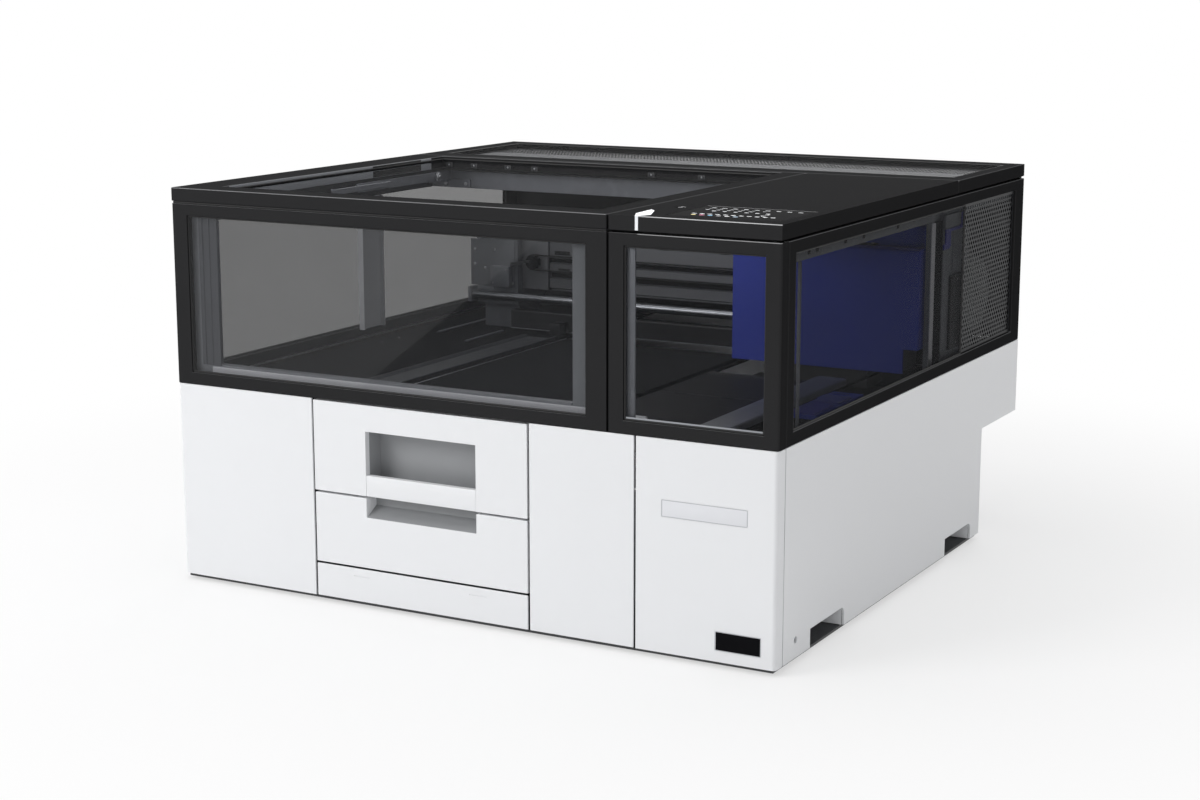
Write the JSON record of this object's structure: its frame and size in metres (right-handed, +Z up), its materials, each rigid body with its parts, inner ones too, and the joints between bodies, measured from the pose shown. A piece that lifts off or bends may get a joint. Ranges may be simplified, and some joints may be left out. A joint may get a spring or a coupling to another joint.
{
  "type": "flatbed uv printer",
  "caption": "Box-shaped flatbed UV printer with a window lid that lifts from the front, white base covers with two drawers, a sliding print carriage and a moving table.",
  "frame": {"origin": "on the floor, below the middle of the machine's bounding box", "axes": "+Z up, -Y towards the person at the front, +X to that person's right"},
  "size_m": [0.98, 0.975, 0.595],
  "materials": {
    "white_shell": "white satin enamel over sheet covers",
    "black_frame": "black satin powder coat",
    "clear_pane": "smoke-tinted clear pane",
    "steel_grey": "blue-grey satin painted steel",
    "steel_black": "matt black coated steel",
    "bright_steel": "ground bright steel",
    "blue_cover": "deep blue moulded plastic",
    "panel_glass": "gloss black touch panel",
    "lamp_white": "frosted white light guide",
    "rubber_black": "black rubber",
    "plastic_dark": "dark grey moulded plastic",
    "mesh_grey": "grey painted perforated steel",
    "pocket_grey": "grey moulded plastic of the finger pocket",
    "table_black": "black anodised aluminium plate"
  },
  "bodies": {
    "chassis": {"alert_lamp": "lamp_white", "base_plate": "plastic_dark", "carriage_motor": "plastic_dark", "control_panel": "panel_glass", "crossbar": "steel_grey", "deck_chassis": "steel_black", "drawer_bay": "steel_grey", "drive_belt": "rubber_black", "fan_housing": "plastic_dark", "foot_front_left": "rubber_black", "foot_front_right": "rubber_black", "foot_rear_left": "rubber_black", "foot_rear_right": "rubber_black", "front_center_panel": "white_shell", "front_left_panel": "white_shell", "gantry_beam": "steel_grey", "gantry_end_left": "steel_grey", "gantry_end_right": "steel_grey", "guide_shaft": "bright_steel", "kick_panel": "white_shell", "power_inlet": "plastic_dark", "rear_lower_panel": "white_shell", "rear_top_cover": "black_frame", "rear_top_window": "clear_pane", "rear_upper_panel": "black_frame", "right_top_cover": "black_frame", "side_frame_left": "black_frame", "side_frame_right": "black_frame", "side_mesh_right": "mesh_grey", "side_panel_left": "white_shell", "side_panel_right": "white_shell", "side_window_left": "clear_pane", "side_window_right": "clear_pane", "table_rail": "steel_grey"},
    "loading_lid": {"lid_frame": "black_frame", "lid_window": "clear_pane", "door_frame": "black_frame", "door_window": "clear_pane", "door_liner": "steel_grey"},
    "lid_stay_arm_body": {"lid_stay_arm": "steel_grey"},
    "lid_stay_slider_body": {"lid_stay_slider": "steel_grey"},
    "service_door": {"service_door_frame": "black_frame", "service_door_window": "clear_pane"},
    "access_door_body": {"access_door": "white_shell"},
    "ink_drawer": {"ink_drawer_front": "white_shell", "ink_drawer_pocket": "pocket_grey", "ink_drawer_tray": "plastic_dark"},
    "storage_drawer": {"storage_drawer_front": "white_shell", "storage_drawer_tray": "plastic_dark"},
    "table_saddle_body": {"table_saddle": "steel_grey"},
    "table": {"table_plate": "table_black"},
    "carriage": {"carriage_cover": "blue_cover", "carriage_frame": "steel_black", "uv_lamp": "steel_grey"},
    "motor_pulley_body": {"motor_pulley": "bright_steel"},
    "idler_pulley_body": {"idler_pulley": "bright_steel"},
    "wiper": {"wiper_unit": "blue_cover"},
    "cap": {"cap_station": "plastic_dark"},
    "fan": {"fan_rotor": "plastic_dark"},
    "button": {"power_button": "panel_glass"}
  },
  "joints": [
    {"name": "lid_hinge", "type": "hinge", "parent": "chassis", "child": "loading_lid", "pos_m": [0, 0.1665, 0.595], "axis": [-1, 0, 0], "range_deg": [0, 60]},
    {"name": "lid_stay_swing", "type": "hinge", "parent": "chassis", "child": "lid_stay_arm_body", "pos_m": [-0.4235, 0.12, 0.563], "axis": [-1, 0, 0], "range_deg": [-1, 66]},
    {"name": "lid_stay_extend", "type": "slide", "parent": "lid_stay_arm_body", "child": "lid_stay_slider_body", "axis": [0, -1, 0], "range_m": [-0.001, 0.056]},
    {"name": "service_door_hinge", "type": "hinge", "parent": "chassis", "child": "service_door", "pos_m": [0.2418, -0.4875, 0.4375], "axis": [0, 0, -1], "range_deg": [0, 95]},
    {"name": "access_door_hinge", "type": "hinge", "parent": "chassis", "child": "access_door_body", "pos_m": [0.2835, -0.4875, 0.156], "axis": [0, 0, -1], "range_deg": [0, 95]},
    {"name": "ink_drawer_slide", "type": "slide", "parent": "chassis", "child": "ink_drawer", "axis": [0, -1, 0], "range_m": [0, 0.19]},
    {"name": "storage_drawer_slide", "type": "slide", "parent": "chassis", "child": "storage_drawer", "axis": [0, -1, 0], "range_m": [0, 0.19]},
    {"name": "table_slide", "type": "slide", "parent": "chassis", "child": "table_saddle_body", "axis": [0, 1, 0], "range_m": [0, 0.3]},
    {"name": "table_lower", "type": "slide", "parent": "table_saddle_body", "child": "table", "axis": [0, 0, -1], "range_m": [0, 0.07]},
    {"name": "carriage_slide", "type": "slide", "parent": "chassis", "child": "carriage", "axis": [-1, 0, 0], "range_m": [0, 0.44]},
    {"name": "motor_pulley_spin", "type": "hinge", "parent": "chassis", "child": "motor_pulley_body", "pos_m": [-0.265, 0.177, 0.42], "axis": [0, 1, 0], "range_deg": [-2200, 5]},
    {"name": "idler_pulley_spin", "type": "hinge", "parent": "chassis", "child": "idler_pulley_body", "pos_m": [0.452, 0.177, 0.42], "axis": [0, 1, 0], "range_deg": [-2200, 5]},
    {"name": "wiper_slide", "type": "slide", "parent": "chassis", "child": "wiper", "axis": [0, 1, 0], "range_m": [0, 0.2]},
    {"name": "cap_lower", "type": "slide", "parent": "chassis", "child": "cap", "axis": [0, 0, -1], "range_m": [0, 0.012]},
    {"name": "fan_spin", "type": "hinge", "parent": "chassis", "child": "fan", "pos_m": [0.452, 0.302, 0.385], "axis": [1, 0, 0], "continuous": true},
    {"name": "power_button_press", "type": "slide", "parent": "chassis", "child": "button", "axis": [0, 0, -1], "range_m": [0, 0.0015], "stiffness_N_per_m": 600, "springref_m": -0.001}
  ],
  "couplings": [
    {"joint": "lid_stay_swing", "follows": "lid_hinge", "ratio": 1.07},
    {"joint": "lid_stay_extend", "follows": "lid_hinge", "m_per_rad": 0.0497},
    {"joint": "motor_pulley_spin", "follows": "carriage_slide", "rad_per_m": -84.034},
    {"joint": "idler_pulley_spin", "follows": "carriage_slide", "rad_per_m": -84.034}
  ]
}
